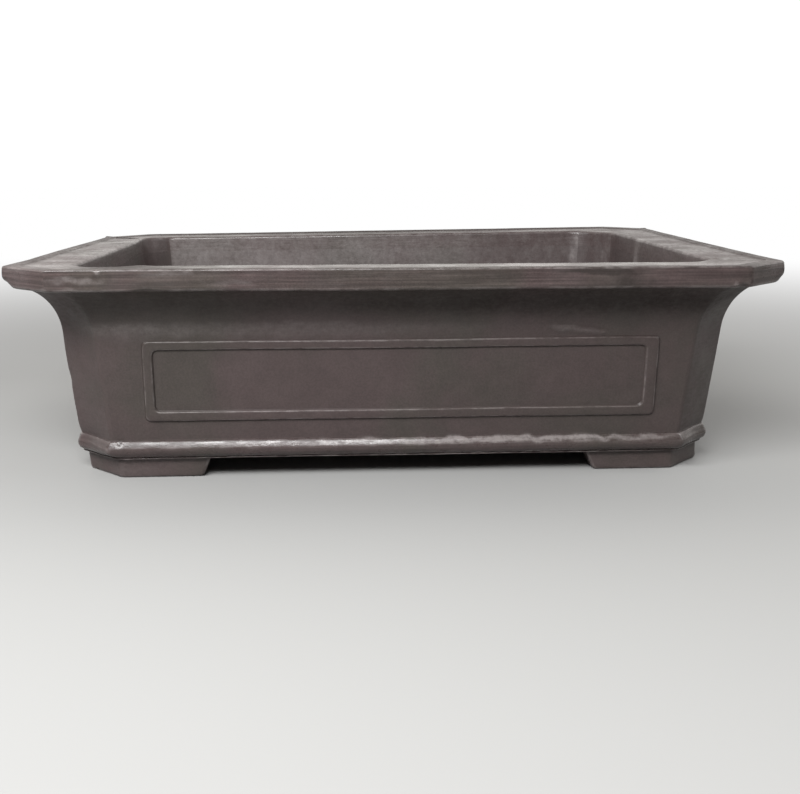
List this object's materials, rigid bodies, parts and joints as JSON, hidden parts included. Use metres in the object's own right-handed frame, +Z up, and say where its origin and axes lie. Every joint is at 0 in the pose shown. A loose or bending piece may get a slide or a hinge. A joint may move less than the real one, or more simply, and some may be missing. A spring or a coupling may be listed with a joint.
{
  "type": "bonsai pot",
  "caption": "Large unglazed rectangular bonsai pot with cut corners, wide overhanging lip, raised panel frames, half-round belt, drain holes and bracket feet; holds soil and a tree.",
  "frame": {"origin": "on the surface that the pot stands on, midway between its four feet", "axes": "+Z up, +X along the long side to the right as seen from the front, -Y towards the front"},
  "size_m": [0.61, 0.452, 0.173],
  "materials": {
    "clay_wall": "unglazed, satin",
    "clay_lip": "unglazed, burnished satin",
    "clay_base": "unglazed, matt"
  },
  "bodies": {
    "root": {"floor_slab": "clay_base", "wall_front": "clay_wall", "lip_front": "clay_lip", "belt_front": "clay_lip", "wall_corner_front_right": "clay_wall", "lip_corner_front_right": "clay_lip", "belt_corner_front_right": "clay_lip", "wall_right": "clay_wall", "lip_right": "clay_lip", "belt_right": "clay_lip", "wall_corner_back_right": "clay_wall", "lip_corner_back_right": "clay_lip", "belt_corner_back_right": "clay_lip", "wall_back": "clay_wall", "lip_back": "clay_lip", "belt_back": "clay_lip", "wall_corner_back_left": "clay_wall", "lip_corner_back_left": "clay_lip", "belt_corner_back_left": "clay_lip", "wall_left": "clay_wall", "lip_left": "clay_lip", "belt_left": "clay_lip", "wall_corner_front_left": "clay_wall", "lip_corner_front_left": "clay_lip", "belt_corner_front_left": "clay_lip", "panel_front": "clay_wall", "panel_right": "clay_wall", "panel_back": "clay_wall", "panel_left": "clay_wall", "foot_front_left": "clay_base", "foot_front_right": "clay_base", "foot_back_left": "clay_base", "foot_back_right": "clay_base"}
  },
  "joints": []
}
